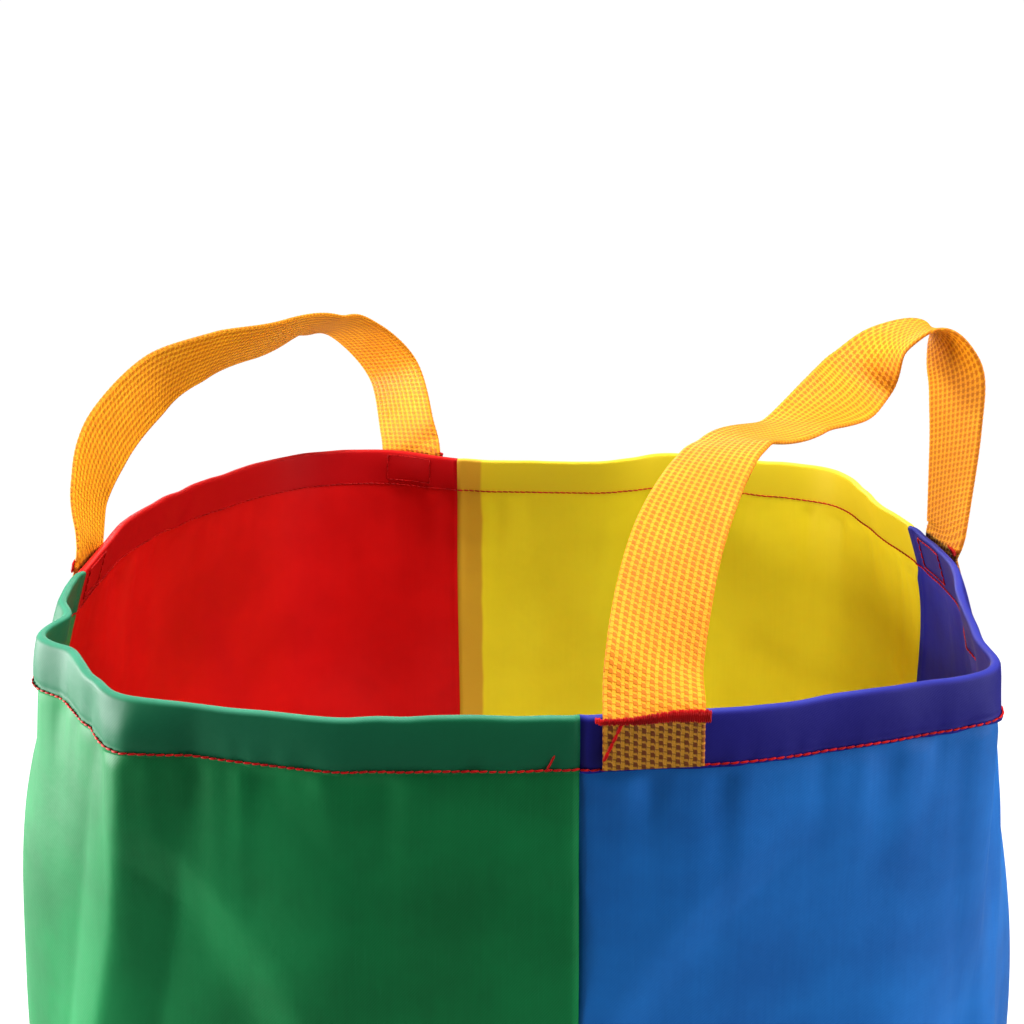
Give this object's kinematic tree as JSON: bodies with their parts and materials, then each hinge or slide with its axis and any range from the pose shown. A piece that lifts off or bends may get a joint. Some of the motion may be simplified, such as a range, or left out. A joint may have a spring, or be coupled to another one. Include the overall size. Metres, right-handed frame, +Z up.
{
  "type": "sack race bag",
  "caption": "Child's jumping bag for sack races: a lined cloth tube of four colours with a round bottom, a stitched hem and two webbing handles to hold while hopping.",
  "frame": {"origin": "centre of the round bottom, on the floor", "axes": "+Z up through the open mouth, -Y the front with the seam between the green and the blue panel, +X towards the blue panel's side"},
  "size_m": [0.3306, 0.3074, 0.6735],
  "materials": {
    "blue_shell": "fine plain-woven polyester cloth with a soft sheen",
    "blue_lining": "fine plain-woven polyester cloth with a soft sheen",
    "yellow_shell": "fine plain-woven polyester cloth with a soft sheen",
    "yellow_lining": "fine plain-woven polyester cloth with a soft sheen",
    "red_shell": "fine plain-woven polyester cloth with a soft sheen",
    "red_lining": "fine plain-woven polyester cloth with a soft sheen",
    "green_shell": "fine plain-woven polyester cloth with a soft sheen",
    "green_lining": "fine plain-woven polyester cloth with a soft sheen",
    "webbing": "coarse woven polypropylene webbing",
    "thread": "polyester sewing thread"
  },
  "bodies": {
    "bag": {"shell_blue": "blue_shell", "lining_blue": "blue_lining", "shell_yellow": "yellow_shell", "lining_yellow": "yellow_lining", "shell_red": "red_shell", "lining_red": "red_lining", "shell_green": "green_shell", "lining_green": "green_lining", "base_shell": "blue_shell", "base_lining": "blue_lining", "hem_thread_outside": "thread", "hem_thread_inside": "thread", "right_handle_front_tab": "webbing", "right_handle_front_bar_tack": "thread", "right_handle_front_slanted_stitch": "thread", "right_handle_front_lining_stitch": "thread", "right_handle_rear_tab": "webbing", "right_handle_rear_bar_tack": "thread", "right_handle_rear_slanted_stitch": "thread", "right_handle_rear_lining_stitch": "thread", "left_handle_rear_tab": "webbing", "left_handle_rear_bar_tack": "thread", "left_handle_rear_slanted_stitch": "thread", "left_handle_rear_lining_stitch": "thread", "left_handle_front_tab": "webbing", "left_handle_front_bar_tack": "thread", "left_handle_front_slanted_stitch": "thread", "left_handle_front_lining_stitch": "thread"},
    "handle_right": {"right_handle_loop": "webbing"},
    "handle_left": {"left_handle_loop": "webbing"}
  },
  "joints": [
    {"name": "right_handle_flop", "type": "hinge", "parent": "bag", "child": "handle_right", "pos_m": [0.0311, -0.136, 0.6], "axis": [0.6187, 0.7856, 0], "range_deg": [-25, 40], "stiffness_Nm_per_rad": 0.1},
    {"name": "left_handle_flop", "type": "hinge", "parent": "bag", "child": "handle_left", "pos_m": [-0.0461, 0.1321, 0.6], "axis": [-0.574, -0.8189, 0], "range_deg": [-40, 30], "stiffness_Nm_per_rad": 0.1}
  ]
}
